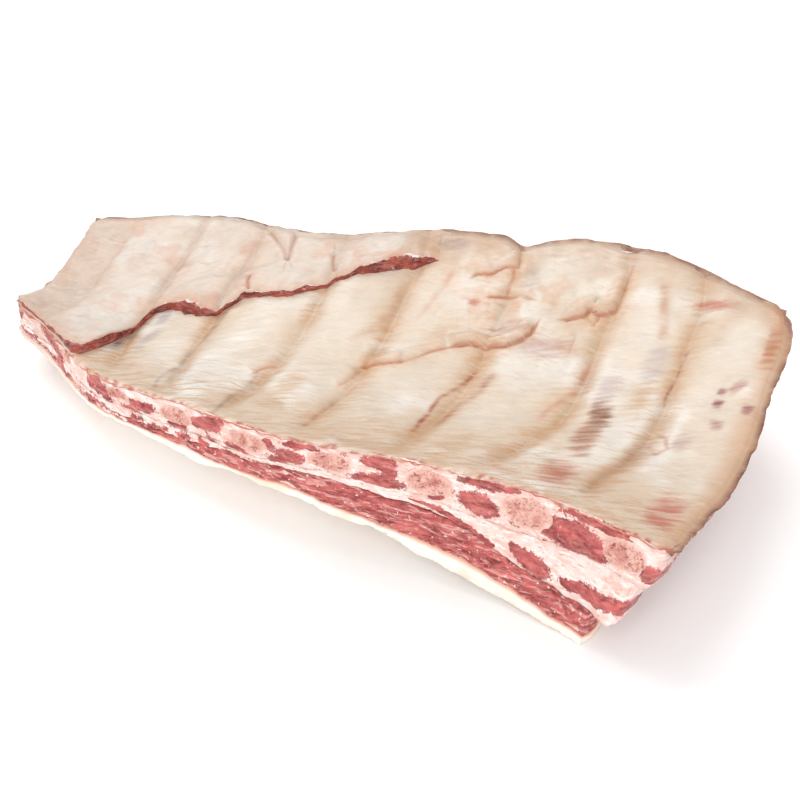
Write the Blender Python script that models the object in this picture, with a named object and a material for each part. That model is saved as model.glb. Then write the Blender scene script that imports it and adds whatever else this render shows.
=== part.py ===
"""A raw rack of beef ribs lying bone side up: layers, eight ribs and a skirt flap."""

import math

import bmesh
import bpy

# ---- Frame: +X along the front cut edge, +Y along the ribs to the back, +Z up, in metres ----

# ---- Middle of the finished box in the layout below; the pieces are moved so that it is the origin ----
MIDDLE_X, MIDDLE_Y = -0.019655, 0.000636

# ---- Outline in plan: (x, y) along the front cut and the back edge ----
FRONT_Y = [(-0.262, -0.030), (-0.220, -0.052), (-0.180, -0.078), (-0.140, -0.090), (-0.100, -0.096),
           (-0.060, -0.104), (-0.020, -0.108), (0.060, -0.103), (0.140, -0.107), (0.225, -0.124)]
BACK_Y = [(-0.262, 0.064), (-0.240, 0.068), (-0.205, 0.079), (-0.170, 0.085), (-0.127, 0.080),
          (-0.100, 0.078), (-0.054, 0.090), (-0.018, 0.105), (0.023, 0.110), (0.038, 0.106),
          (0.053, 0.115), (0.070, 0.125), (0.110, 0.131), (0.143, 0.128), (0.182, 0.116),
          (0.211, 0.109)]

# ---- Outline in plan: (v, x) along the two ends, where v runs 0 at the front to 1 at the back ----
LEFT_X = [(0.0, -0.262), (0.35, -0.257), (0.7, -0.256), (1.0, -0.255)]
RIGHT_X = [(0.0, 0.214), (0.2, 0.2165), (0.38, 0.222), (0.55, 0.223), (0.75, 0.2195),
           (0.9, 0.2185), (1.0, 0.2105)]

# ---- Heights of the upper skin: (x, z) of the front rim and the back rim, (x, dip) between them ----
FRONT_RIM_Z = [(-0.262, 0.050), (-0.220, 0.052), (-0.180, 0.0555), (-0.140, 0.062), (-0.100, 0.068),
               (-0.060, 0.073), (-0.020, 0.077), (0.020, 0.0805), (0.060, 0.084), (0.140, 0.0895),
               (0.225, 0.0895)]
BACK_RIM_Z = [(-0.262, 0.055), (-0.200, 0.062), (-0.100, 0.078), (0.000, 0.088), (0.100, 0.092),
              (0.228, 0.090)]
DIP = [(-0.262, 0.010), (-0.150, 0.015), (0.000, 0.023), (0.100, 0.028), (0.228, 0.021)]
DIP_SKEW = 0.12        # share by which the dip leans towards the front
RIB_RELIEF = 0.0028    # how far the skin swells over a rib and sinks between two
RIB_SPREAD = 1.25      # width of that swell in half widths of the rib

# ---- Depths below the rim where each layer ends, at the front cut: (x, depth) ----
LINING_DEPTH = 0.0032
RIB_LAYER_DEPTH = [(-0.262, 0.013), (-0.200, 0.016), (-0.140, 0.019), (-0.100, 0.023), (-0.020, 0.021),
                   (0.010, 0.021), (0.050, 0.025), (0.100, 0.030), (0.150, 0.031), (0.225, 0.031)]
SEAM_DEPTH = [(-0.262, 0.018), (-0.200, 0.021), (-0.140, 0.026), (-0.100, 0.0285), (-0.020, 0.0245),
              (0.020, 0.0280), (0.060, 0.034), (0.090, 0.040), (0.120, 0.056), (0.165, 0.064),
              (0.225, 0.064)]
MUSCLE_DEPTH = [(-0.262, 0.0205), (-0.200, 0.0235), (-0.140, 0.029), (-0.100, 0.0335), (-0.060, 0.0365),
                (-0.020, 0.0365), (0.010, 0.046), (0.050, 0.055), (0.090, 0.063), (0.130, 0.077),
                (0.165, 0.0825), (0.225, 0.0825)]
# Depths of the whole slab at the front cut and at the back edge
SLAB_DEPTH = [(-0.262, 0.0265), (-0.210, 0.0275), (-0.175, 0.0285), (-0.130, 0.034), (-0.100, 0.040),
              (-0.060, 0.041), (-0.020, 0.043), (0.000, 0.049), (0.030, 0.057), (0.060, 0.069),
              (0.100, 0.080), (0.150, 0.0885), (0.225, 0.0890)]
BACK_DEPTH = [(-0.262, 0.026), (-0.150, 0.034), (0.000, 0.044), (0.228, 0.050)]

# ---- How the slab meets the table ----
REST_FROM, REST_TO = 0.36, 0.66      # share of the width that lies flat on the table
REST_LEFT = -0.165                   # left of here the underside lifts
LEFT_LIFT = 0.020

# ---- How the cut faces lean ----
FRONT_LEAN = [(-0.262, 0.05), (0.0, 0.07), (0.200, 0.15)]    # forward shift per metre of depth
LEAN_REACH = 0.35                                            # share of the width the lean fades over
END_UNDERCUT = 0.30                                          # inward shift of the right end
END_REACH = 0.12                                             # share of the length it fades over

# ---- Ribs: x at the front cut, half width, half height, depth of the centre ----
RIBS = [(-0.205, 0.0080, 0.0038, 0.0085), (-0.152, 0.0110, 0.0050, 0.0100),
        (-0.106, 0.0130, 0.0070, 0.0125), (-0.052, 0.0145, 0.0075, 0.0125),
        (0.003, 0.0155, 0.0075, 0.0125), (0.064, 0.0160, 0.0093, 0.0145),
        (0.126, 0.0170, 0.0115, 0.0168), (0.190, 0.0165, 0.0115, 0.0170)]
RIB_SIDES = 12
RIB_OVERHANG = 0.012     # how far a rib's blank runs past both cut faces before it is trimmed

# ---- Skirt flap: (x, y) of its torn front edge ----
FLAP_EDGE = [(-0.262, -0.030), (-0.200, -0.064), (-0.186, -0.050), (-0.178, -0.004), (-0.162, 0.006),
             (-0.138, 0.006), (-0.127, 0.019), (-0.103, 0.027), (-0.071, 0.049), (-0.047, 0.064),
             (-0.023, 0.081)]
FLAP_RIGHT = -0.020
FLAP_THICK = 0.0075
FLAP_EDGE_SHARE = 0.55   # thickness along the long edges as a share of the full thickness
FLAP_INSET = 0.003       # least distance from the front cut
FLAP_ROWS = 4

GAP = 0.0003             # clearance between pieces that lie on each other
FLAP_GAP = 0.0010        # clearance of the flap, whose grid doesn't match the lining's

# ---- Grid that every layer shares ----
LEFT_COLUMNS = [-0.245, -0.225]
RIGHT_COLUMN = 0.207
SHOULDER = 0.6           # place of a rib's two columns in half widths
ROWS = [0.0, 0.07, 0.22, 0.40, 0.58, 0.76, 0.92, 1.0]
LOWER_END = 3            # columns by which the muscle and the fat cap stop short of the right end
SEAM_END = 1             # and the seam fat


def curve(stations, at):
    """Smooth value through (position, value) stations, held level past both ends."""
    at = min(max(at, stations[0][0]), stations[-1][0])
    i = max(k for k in range(len(stations) - 1) if stations[k][0] <= at)
    (x0, y0), (x1, y1) = stations[i], stations[i + 1]
    step = (y1 - y0) / (x1 - x0)
    before = step if i == 0 else (y1 - stations[i - 1][1]) / (x1 - stations[i - 1][0])
    last = i + 2 >= len(stations)
    after = step if last else (stations[i + 2][1] - y0) / (stations[i + 2][0] - x0)
    t = (at - x0) / (x1 - x0)
    width = x1 - x0
    return ((2 * t ** 3 - 3 * t ** 2 + 1) * y0 + (t ** 3 - 2 * t ** 2 + t) * width * before
            + (3 * t ** 2 - 2 * t ** 3) * y1 + (t ** 3 - t ** 2) * width * after)


def fade(t):
    """1 at t = 0, easing to 0 at t = 1 and beyond."""
    t = min(max(t, 0.0), 1.0)
    return 1 - t * t * (3 - 2 * t)


def column_places():
    """x at the front cut of each column: two on every rib, one in each valley, more at the ends."""
    places = [LEFT_X[0][1], *LEFT_COLUMNS]
    for x, half_w, _, _ in RIBS:
        places += [x - SHOULDER * half_w, x + SHOULDER * half_w]
    for (x, half_w, _, _), (next_x, next_w, _, _) in zip(RIBS, RIBS[1:]):
        places.append((x + half_w + next_x - next_w) / 2)
    return sorted(places + [RIGHT_COLUMN, RIGHT_X[0][1]])


COLUMNS = column_places()


def plan(front_x, v):
    """(x, y) of the point a share v of the way back along the line that starts at front_x."""
    u = (front_x - LEFT_X[0][1]) / (RIGHT_X[0][1] - LEFT_X[0][1])
    left, right = curve(LEFT_X, v), curve(RIGHT_X, v)
    x = left + u * (right - left)
    front, back = curve(FRONT_Y, x), curve(BACK_Y, x)
    return x, front + v * (back - front)


def relief(front_x):
    """Swell of the skin over the ribs and the valleys between them."""
    best = max(math.exp(-((front_x - x) / (RIB_SPREAD * half_w)) ** 2) for x, half_w, _, _ in RIBS)
    return RIB_RELIEF * (2 * best - 1)


def skin_z(front_x, v):
    """Height of the upper skin."""
    x, _ = plan(front_x, v)
    rim = (1 - v) * curve(FRONT_RIM_Z, x) + v * curve(BACK_RIM_Z, x)
    skewed = v ** (1 - DIP_SKEW)
    dip = curve(DIP, x) * math.sin(math.pi * skewed)
    return rim - dip + relief(front_x) * math.sin(math.pi * v) ** 0.5


def under_z(front_x, v):
    """Height of the underside, flat on the table over the middle of the width."""
    x, _ = plan(front_x, v)
    front_lift = curve(FRONT_RIM_Z, x) - curve(SLAB_DEPTH, x)
    back_lift = curve(BACK_RIM_Z, x) - curve(BACK_DEPTH, x)
    lift = front_lift * fade(v / REST_FROM) + back_lift * fade((1 - v) / (1 - REST_TO))
    left = fade((x - LEFT_X[0][1]) / (REST_LEFT - LEFT_X[0][1]))
    return max(lift, left * LEFT_LIFT)


def layer_z(front_x, v, depth):
    """Height of the surface that lies at the given depth of the front cut."""
    x, _ = plan(front_x, v)
    share = depth / curve(SLAB_DEPTH, x)
    top, bottom = skin_z(front_x, v), under_z(front_x, v)
    return top - share * (top - bottom)


def depth_of(layer, front_x):
    """Depth of a layer's lower surface at the front cut."""
    return layer if isinstance(layer, float) else curve(layer, front_x)


def lean(front_x, v, z):
    """Place on the slab, with the front cut leaning forward and the right end cut under."""
    x, y = plan(front_x, v)
    depth = max(skin_z(front_x, v) - z, 0.0)
    y -= curve(FRONT_LEAN, x) * depth * fade(v / LEAN_REACH)
    end = curve(RIGHT_X, v)
    x -= END_UNDERCUT * depth * fade((end - x) / (END_REACH * (end - LEFT_X[0][1])))
    return x, y, z


def collection(name):
    """New collection in the scene."""
    made = bpy.data.collections.new(name)
    bpy.context.scene.collection.children.link(made)
    return made


def material(name, colour, roughness):
    """Plain material of one colour and roughness."""
    mat = bpy.data.materials.new(name)
    mat.use_nodes = True
    shader = mat.node_tree.nodes["Principled BSDF"]
    shader.inputs["Base Color"].default_value = (*colour, 1.0)
    shader.inputs["Roughness"].default_value = roughness
    shader.inputs["Metallic"].default_value = 0.0
    return mat


def grid_solid(name, group, mat, lower, upper):
    """Closed solid between two grids of points, lower[i][j] under upper[i][j]."""
    bm = bmesh.new()
    low = [[bm.verts.new(p) for p in line] for line in lower]
    high = [[bm.verts.new(p) for p in line] for line in upper]
    wide, deep = len(low), len(low[0])
    for i in range(wide - 1):
        for j in range(deep - 1):
            bm.faces.new((high[i][j], high[i + 1][j], high[i + 1][j + 1], high[i][j + 1]))
            bm.faces.new((low[i][j], low[i][j + 1], low[i + 1][j + 1], low[i + 1][j]))
    for i in range(wide - 1):
        bm.faces.new((low[i][0], low[i + 1][0], high[i + 1][0], high[i][0]))
        bm.faces.new((high[i][-1], high[i + 1][-1], low[i + 1][-1], low[i][-1]))
    for j in range(deep - 1):
        bm.faces.new((high[0][j], high[0][j + 1], low[0][j + 1], low[0][j]))
        bm.faces.new((low[-1][j], low[-1][j + 1], high[-1][j + 1], high[-1][j]))
    bmesh.ops.triangulate(bm, faces=bm.faces[:])
    return finish(name, group, mat, bm)


def finish(name, group, mat, bm):
    """Centre the piece on the origin and make its object."""
    bmesh.ops.translate(bm, verts=bm.verts[:], vec=(-MIDDLE_X, -MIDDLE_Y, 0.0))
    mesh = bpy.data.meshes.new(name)
    bmesh.ops.recalc_face_normals(bm, faces=bm.faces[:])
    bm.to_mesh(mesh)
    bm.free()
    for face in mesh.polygons:
        face.use_smooth = True
    obj = bpy.data.objects.new(name, mesh)
    obj.data.materials.append(mat)
    group.objects.link(obj)
    return obj


def top_of(above, front_x, v):
    """Top of a layer: the skin, or a gap below the surface of the layer above it."""
    if above is None:
        return skin_z(front_x, v)
    return layer_z(front_x, v, depth_of(above, front_x)) - GAP


def bottom_of(below, front_x, v):
    """Bottom of a layer: its own lower surface, or the underside of the rack."""
    if below is None:
        return under_z(front_x, v)
    return layer_z(front_x, v, depth_of(below, front_x))


def layer(name, group, mat, above, below, short=0):
    """One layer of the slab, from the surface called above to the one called below."""
    columns = COLUMNS[:len(COLUMNS) - short]
    upper = [[lean(x, v, top_of(above, x, v)) for v in ROWS] for x in columns]
    lower = [[lean(x, v, bottom_of(below, x, v)) for v in ROWS] for x in columns]
    return grid_solid(name, group, mat, lower, upper)


def rib_blank(name, group, mat, rib, grow):
    """Oval bar that follows the dip of the slab along one rib, grown on every side."""
    front_x, half_w, half_h, depth = rib
    bm = bmesh.new()
    rings = []
    for v in ROWS:
        z = layer_z(front_x, v, depth)
        x, y, _ = lean(front_x, v, z)
        if v in (ROWS[0], ROWS[-1]):
            y += RIB_OVERHANG * (1 if v else -1)
        ring = []
        for k in range(RIB_SIDES):
            angle = 2 * math.pi * k / RIB_SIDES
            across = (half_w + grow) * math.cos(angle)
            ring.append(bm.verts.new((x + across, y, z + (half_h + grow) * math.sin(angle))))
        rings.append(ring)
    for first, second in zip(rings, rings[1:]):
        for k in range(RIB_SIDES):
            after = (k + 1) % RIB_SIDES
            bm.faces.new((first[k], first[after], second[after], second[k]))
    bm.faces.new(rings[0])
    bm.faces.new(rings[-1])
    bmesh.ops.triangulate(bm, faces=bm.faces[:])
    return finish(name, group, mat, bm)


def boolean(target, cutter, operation):
    """Exact boolean of one piece with another."""
    step = target.modifiers.new(cutter.name, "BOOLEAN")
    step.operation = operation
    step.solver = "EXACT"
    step.object = cutter


def hide(cutter):
    """Keep a cutting shape out of the finished part."""
    cutter.hide_render = True
    cutter.display_type = "WIRE"


def skin_at(front_x, y):
    """Height of the faceted upper skin on one column at the given y."""
    points = [(plan(front_x, v)[1], skin_z(front_x, v)) for v in ROWS]
    for (y0, z0), (y1, z1) in zip(points, points[1:]):
        if y <= y1:
            t = (y - y0) / (y1 - y0)
            return z0 + t * (z1 - z0)
    return points[-1][1]


def flap_line(front_x, lift):
    """Points across the flap along one column, at a height above the skin that lift gives by row."""
    front, back = plan(front_x, 0.0)[1], plan(front_x, 1.0)[1]
    edge = max(curve(FLAP_EDGE, front_x), front + FLAP_INSET)
    line = []
    for j in range(FLAP_ROWS + 1):
        target = edge + (back - edge) * j / FLAP_ROWS
        x, y = plan(front_x, (target - front) / (back - front))
        line.append((x, y, skin_at(front_x, y) + FLAP_GAP + lift(j)))
    return line


def flap_rise(j):
    """Thickness of the flap at a row: full inside, thinner along its two long edges."""
    return FLAP_THICK * (1.0 if 0 < j < FLAP_ROWS else FLAP_EDGE_SHARE)


def skirt_flap(group, mat):
    """The sheet of skirt that lies over the lining at the back left."""
    columns = [x for x in COLUMNS if x < FLAP_RIGHT]
    upper = [flap_line(x, flap_rise) for x in columns]
    lower = [flap_line(x, lambda j: 0.0) for x in columns]
    return grid_solid("skirt_flap", group, mat, lower, upper)


def build():
    for obj in list(bpy.data.objects):
        bpy.data.objects.remove(obj)
    rack = collection("rack_of_ribs")
    cutters = collection("cutters")
    fat = material("fat", (0.88, 0.76, 0.66), 0.45)
    muscle = material("muscle", (0.42, 0.08, 0.08), 0.4)
    seam = material("seam_fat", (0.86, 0.68, 0.60), 0.45)
    meat = material("rib_meat", (0.50, 0.12, 0.11), 0.42)
    bone = material("bone", (0.72, 0.50, 0.44), 0.55)
    membrane = material("membrane", (0.82, 0.72, 0.60), 0.35)
    flap = material("flap", (0.84, 0.69, 0.57), 0.4)

    layer("fat_cap", rack, fat, MUSCLE_DEPTH, None, LOWER_END)
    layer("plate_muscle", rack, muscle, SEAM_DEPTH, MUSCLE_DEPTH, LOWER_END)
    layer("seam_fat", rack, seam, RIB_LAYER_DEPTH, SEAM_DEPTH, SEAM_END)
    rib_meat = layer("rib_meat", rack, meat, LINING_DEPTH, RIB_LAYER_DEPTH)
    layer("inner_lining", rack, membrane, None, LINING_DEPTH)
    envelope = layer("rib_envelope", cutters, meat, LINING_DEPTH, RIB_LAYER_DEPTH)
    hide(envelope)
    for i, rib in enumerate(RIBS):
        tunnel = rib_blank(f"rib_tunnel_{i + 1}", cutters, meat, rib, GAP)
        hide(tunnel)
        boolean(rib_meat, tunnel, "DIFFERENCE")
        boolean(rib_blank(f"rib_{i + 1}", rack, bone, rib, 0.0), envelope, "INTERSECT")
    skirt_flap(rack, flap)


build()
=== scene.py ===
"""Looks of the raw rack of beef ribs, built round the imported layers, bones and flap.

Every piece follows the same layout as the solids: a column is a line that starts at front_x on the
cut edge, v runs 0 to 1 along it to the back, and depth is measured down from the rim.
"""
import math
import bpy
import numpy as np
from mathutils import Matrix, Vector


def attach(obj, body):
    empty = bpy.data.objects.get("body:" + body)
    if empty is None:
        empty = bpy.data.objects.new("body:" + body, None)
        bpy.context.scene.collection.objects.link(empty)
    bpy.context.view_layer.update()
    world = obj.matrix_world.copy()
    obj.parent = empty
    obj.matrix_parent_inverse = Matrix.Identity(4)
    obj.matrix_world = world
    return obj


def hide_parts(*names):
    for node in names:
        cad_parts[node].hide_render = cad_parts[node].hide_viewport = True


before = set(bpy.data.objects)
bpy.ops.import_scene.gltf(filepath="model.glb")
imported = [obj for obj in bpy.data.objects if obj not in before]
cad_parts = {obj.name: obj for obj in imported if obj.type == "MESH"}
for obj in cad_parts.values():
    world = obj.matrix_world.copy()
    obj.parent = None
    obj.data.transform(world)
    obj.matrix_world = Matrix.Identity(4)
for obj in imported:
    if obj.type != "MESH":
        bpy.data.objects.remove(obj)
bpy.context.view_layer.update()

# ---------------------------------------------------------------- layout, as in the solids
MIDDLE = np.array([-0.019655, 0.000636])
FRONT_Y = [(-0.262, -0.030), (-0.220, -0.052), (-0.180, -0.078), (-0.140, -0.090), (-0.100, -0.096),
           (-0.060, -0.104), (-0.020, -0.108), (0.060, -0.103), (0.140, -0.107), (0.225, -0.124)]
BACK_Y = [(-0.262, 0.064), (-0.240, 0.068), (-0.205, 0.079), (-0.170, 0.085), (-0.127, 0.080),
          (-0.100, 0.078), (-0.054, 0.090), (-0.018, 0.105), (0.023, 0.110), (0.038, 0.106),
          (0.053, 0.115), (0.070, 0.125), (0.110, 0.131), (0.143, 0.128), (0.182, 0.116),
          (0.211, 0.109)]
LEFT_X = [(0.0, -0.262), (0.35, -0.257), (0.7, -0.256), (1.0, -0.255)]
RIGHT_X = [(0.0, 0.214), (0.2, 0.2165), (0.38, 0.222), (0.55, 0.223), (0.75, 0.2195),
           (0.9, 0.2185), (1.0, 0.2105)]
FRONT_RIM_Z = [(-0.262, 0.050), (-0.220, 0.052), (-0.180, 0.0555), (-0.140, 0.062), (-0.100, 0.068),
               (-0.060, 0.073), (-0.020, 0.077), (0.020, 0.0805), (0.060, 0.084), (0.140, 0.0895),
               (0.225, 0.0895)]
BACK_RIM_Z = [(-0.262, 0.055), (-0.200, 0.062), (-0.100, 0.078), (0.000, 0.088), (0.100, 0.092),
              (0.228, 0.090)]
DIP = [(-0.262, 0.010), (-0.150, 0.015), (0.000, 0.023), (0.100, 0.028), (0.228, 0.021)]
DIP_SKEW = 0.12
LINING_DEPTH = 0.0032
LINING_SHOWN = 0.0019
RIB_LAYER_DEPTH = [(-0.262, 0.013), (-0.200, 0.016), (-0.140, 0.019), (-0.100, 0.023), (-0.020, 0.021),
                   (0.010, 0.021), (0.050, 0.025), (0.100, 0.030), (0.150, 0.031), (0.225, 0.031)]
SEAM_DEPTH = [(-0.262, 0.018), (-0.200, 0.021), (-0.140, 0.026), (-0.100, 0.0285), (-0.020, 0.0245),
              (0.020, 0.0280), (0.060, 0.034), (0.090, 0.040), (0.120, 0.056), (0.165, 0.064),
              (0.225, 0.064)]
MUSCLE_DEPTH = [(-0.262, 0.0205), (-0.200, 0.0235), (-0.140, 0.029), (-0.100, 0.0335), (-0.060, 0.0365),
                (-0.020, 0.0365), (0.010, 0.046), (0.050, 0.055), (0.090, 0.063), (0.130, 0.077),
                (0.165, 0.0825), (0.225, 0.0825)]
SLAB_DEPTH = [(-0.262, 0.0265), (-0.210, 0.0275), (-0.175, 0.0285), (-0.130, 0.034), (-0.100, 0.040),
              (-0.060, 0.041), (-0.020, 0.043), (0.000, 0.049), (0.030, 0.057), (0.060, 0.069),
              (0.100, 0.080), (0.150, 0.0885), (0.225, 0.0890)]
BACK_DEPTH = [(-0.262, 0.026), (-0.150, 0.034), (0.000, 0.044), (0.228, 0.050)]
REST_FROM, REST_TO = 0.36, 0.66
REST_LEFT, LEFT_LIFT = -0.165, 0.020
FRONT_LEAN = [(-0.262, 0.05), (0.0, 0.07), (0.200, 0.15)]
LEAN_REACH = 0.35
END_UNDERCUT, END_REACH = 0.30, 0.12
FIRST_X, LAST_X = LEFT_X[0][1], RIGHT_X[0][1]
LOWER_END_X = 0.1801       # where the muscle and the fat cap stop
SEAM_END_X = 0.207
# Ribs: x at the front cut, half width, half height, depth of the centre
RIBS = [(-0.205, 0.0080, 0.0038, 0.0085), (-0.152, 0.0110, 0.0050, 0.0100),
        (-0.106, 0.0130, 0.0070, 0.0125), (-0.052, 0.0145, 0.0075, 0.0125),
        (0.003, 0.0155, 0.0075, 0.0125), (0.064, 0.0160, 0.0093, 0.0145),
        (0.126, 0.0170, 0.0115, 0.0168), (0.190, 0.0165, 0.0115, 0.0170)]
# Valleys between the ribs: column at the front and column further back
VALLEYS = [(-0.168, -0.183), (-0.121, -0.137), (-0.077, -0.0765), (-0.0245, -0.0255),
           (0.036, 0.0385), (0.089, 0.104), (0.148, 0.157)]

rng = np.random.default_rng(7)
PERM = np.tile(rng.permutation(256), 3)
GRAD = rng.normal(size=(256, 3))
GRAD /= np.linalg.norm(GRAD, axis=1)[:, None]


def noise(p, scale, seed=0):
    """Gradient noise, roughly -1 to 1, at points p (n, 3)."""
    q = np.asarray(p) * np.asarray(scale) + 13.7 * seed + 31.0
    cell = np.floor(q).astype(np.int64)
    f = q - cell
    ease = f * f * f * (f * (f * 6 - 15) + 10)
    cell &= 255
    total = 0.0
    for dx in (0, 1):
        for dy in (0, 1):
            for dz in (0, 1):
                h = PERM[PERM[PERM[(cell[..., 0] + dx) & 255] + cell[..., 1] + dy] + cell[..., 2] + dz]
                corner = np.array([dx, dy, dz])
                dot = (GRAD[h] * (f - corner)).sum(-1)
                w = np.where(corner, ease, 1 - ease).prod(-1)
                total = total + w * dot
    return total * 1.7


def fbm(p, scale, octaves=4, seed=0, gain=0.5):
    """Noise summed over octaves."""
    total, size = 0.0, 1.0
    for k in range(octaves):
        total = total + size * noise(p, np.asarray(scale) * 2.0 ** k, seed + k)
        size *= gain
    return total


def curve(stations, at):
    """Smooth values through (position, value) stations, held level past both ends."""
    px = np.array([s[0] for s in stations])
    py = np.array([s[1] for s in stations])
    at = np.clip(at, px[0], px[-1])
    i = np.clip(np.searchsorted(px, at, side="right") - 1, 0, len(px) - 2)
    step = np.diff(py) / np.diff(px)
    slope = np.empty_like(py)
    slope[0], slope[-1] = step[0], step[-1]
    slope[1:-1] = (py[2:] - py[:-2]) / (px[2:] - px[:-2])
    w = px[i + 1] - px[i]
    t = (at - px[i]) / w
    return ((2 * t ** 3 - 3 * t ** 2 + 1) * py[i] + (t ** 3 - 2 * t ** 2 + t) * w * slope[i]
            + (3 * t ** 2 - 2 * t ** 3) * py[i + 1] + (t ** 3 - t ** 2) * w * slope[i + 1])


def smooth(a, b, x):
    """0 below a, 1 above b, eased between."""
    t = np.clip((x - a) / (b - a), 0.0, 1.0)
    return t * t * (3 - 2 * t)


def fade(t):
    return 1 - smooth(0.0, 1.0, t)


def plan(fx, v):
    """Place in plan of column fx at v, in the layout's own axes."""
    u = (fx - FIRST_X) / (LAST_X - FIRST_X)
    left, right = curve(LEFT_X, v), curve(RIGHT_X, v)
    x = left + u * (right - left)
    front, back = curve(FRONT_Y, x), curve(BACK_Y, x)
    return x, front + v * (back - front)


def base_skin(fx, v):
    x, _ = plan(fx, v)
    rim = (1 - v) * curve(FRONT_RIM_Z, x) + v * curve(BACK_RIM_Z, x)
    return rim - curve(DIP, x) * np.sin(math.pi * np.clip(v, 1e-9, 1) ** (1 - DIP_SKEW))


def under(fx, v):
    x, _ = plan(fx, v)
    front = (curve(FRONT_RIM_Z, x) - curve(SLAB_DEPTH, x)) * fade(v / REST_FROM)
    back = (curve(BACK_RIM_Z, x) - curve(BACK_DEPTH, x)) * fade((1 - v) / (1 - REST_TO))
    left = fade((x - FIRST_X) / (REST_LEFT - FIRST_X)) * LEFT_LIFT
    return np.maximum(front + back, left)


def valley_phase(fx, v):
    """-1 to 1 between neighbouring valleys, 0 on the crest of a rib."""
    ease = smooth(0.0, 0.45, v)
    lines = [np.full_like(fx, -0.232)] + [a + (b - a) * ease for a, b in VALLEYS] + [np.full_like(fx, 0.232)]
    phase = np.zeros_like(fx)
    for a, b in zip(lines, lines[1:]):
        inside = (fx >= a) & (fx < b)
        phase = np.where(inside, 2 * (fx - a) / (b - a) - 1, phase)
    phase = np.where(fx < -0.232, 1.0, phase)
    return phase


# ---------------------------------------------------------------- features of the skin, (x, y) in metres
CREASES = [  # points, depth of the groove, half width, swell on the far side, redness
    ([(-.061, -.045), (-.058, -.038), (-.054, -.033), (-.049, -.029), (-.047, -.025)], .0010, .0016, .0008, .7),
    ([(-.007, -.036), (-.004, -.031), (-.002, -.024), (-.001, -.015)], .0010, .0015, .0008, .6),
    ([(-.002, -.013), (.005, -.007), (.014, -.004), (.022, .000)], .0020, .0018, .0020, 1.3),
    ([(.042, .020), (.050, .024), (.054, .027), (.064, .029), (.076, .034), (.083, .041), (.087, .048),
      (.088, .061)], .0018, .0018, .0042, 1.0),
    ([(.018, -.003), (.026, .004), (.034, .013), (.044, .021)], .0010, .0016, .0014, .8),
    ([(.050, .064), (.057, .067), (.062, .070), (.070, .073), (.080, .074)], .0016, .0016, .0014, .9),
    ([(.062, .071), (.061, .078), (.061, .084), (.059, .090)], .0014, .0015, .0006, .9),
    ([(.035, .075), (.038, .080), (.046, .082), (.051, .087), (.055, .090), (.061, .092), (.060, .098),
      (.058, .105)], .0020, .0018, .0018, .9),
    ([(.098, .064), (.104, .065), (.110, .070), (.114, .073), (.115, .079), (.121, .077), (.126, .080),
      (.130, .084), (.130, .095), (.130, .104), (.129, .118)], .0021, .0018, .0032, 1.1),
    ([(.114, .073), (.118, .070), (.121, .069), (.122, .074), (.121, .077)], .0012, .0012, .0010, .7),
    ([(.104, .054), (.109, .055), (.113, .059), (.114, .052), (.115, .040)], .0006, .0014, .0, .3),
]
# Strips that show through or lie on the skin: points, half width, colour, strength
STRIPS = [
    ([(-.006, .063), (-.002, .040), (-.009, .018), (-.023, .002)], .0036, (.70, .46, .33), .40),
    ([(.024, .084), (.020, .061), (.017, .045), (.012, .032)], .0020, (.74, .46, .34), .50),
    ([(.131, .049), (.130, .029), (.128, .011), (.120, -.005), (.118, -.028)], .0021, (.74, .42, .31), .60),
    ([(.069, .020), (.064, -.002), (.056, -.022), (.056, -.045), (.056, -.069)], .0013, (.64, .30, .20), .75),
    ([(.079, .017), (.076, -.007), (.068, -.028), (.065, -.058)], .0024, (.60, .34, .25), .45),
    ([(.151, .113), (.158, .097), (.163, .079), (.167, .065)], .0032, (.70, .42, .26), .50),
    ([(.183, .070), (.183, .059), (.184, .043), (.183, .025), (.185, .008)], .0008, (.60, .36, .25), .70),
    ([(.186, -.011), (.181, -.034), (.173, -.065), (.168, -.093)], .0040, (.62, .42, .28), .42),
    ([(.184, -.016), (.193, -.024), (.199, -.017), (.194, -.008), (.187, -.006)], .0013, (.66, .38, .22), .60),
    ([(-.105, .023), (-.106, .005), (-.109, -.026), (-.110, -.054), (-.111, -.071), (-.102, -.098)],
     .0016, (.50, .40, .36), .50),
    ([(-.149, .003), (-.160, -.011), (-.159, -.032), (-.157, -.057)], .0028, (.38, .33, .32), .70),
    ([(-.058, -.108), (-.060, -.074), (-.057, -.038)], .0013, (.46, .37, .32), .55),
    ([(-.006, -.094), (-.005, -.074), (-.001, -.049), (.003, -.025)], .0014, (.60, .34, .22), .60),
    ([(.196, .090), (.200, .070)], .0050, (.76, .60, .48), .30),
]
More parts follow.
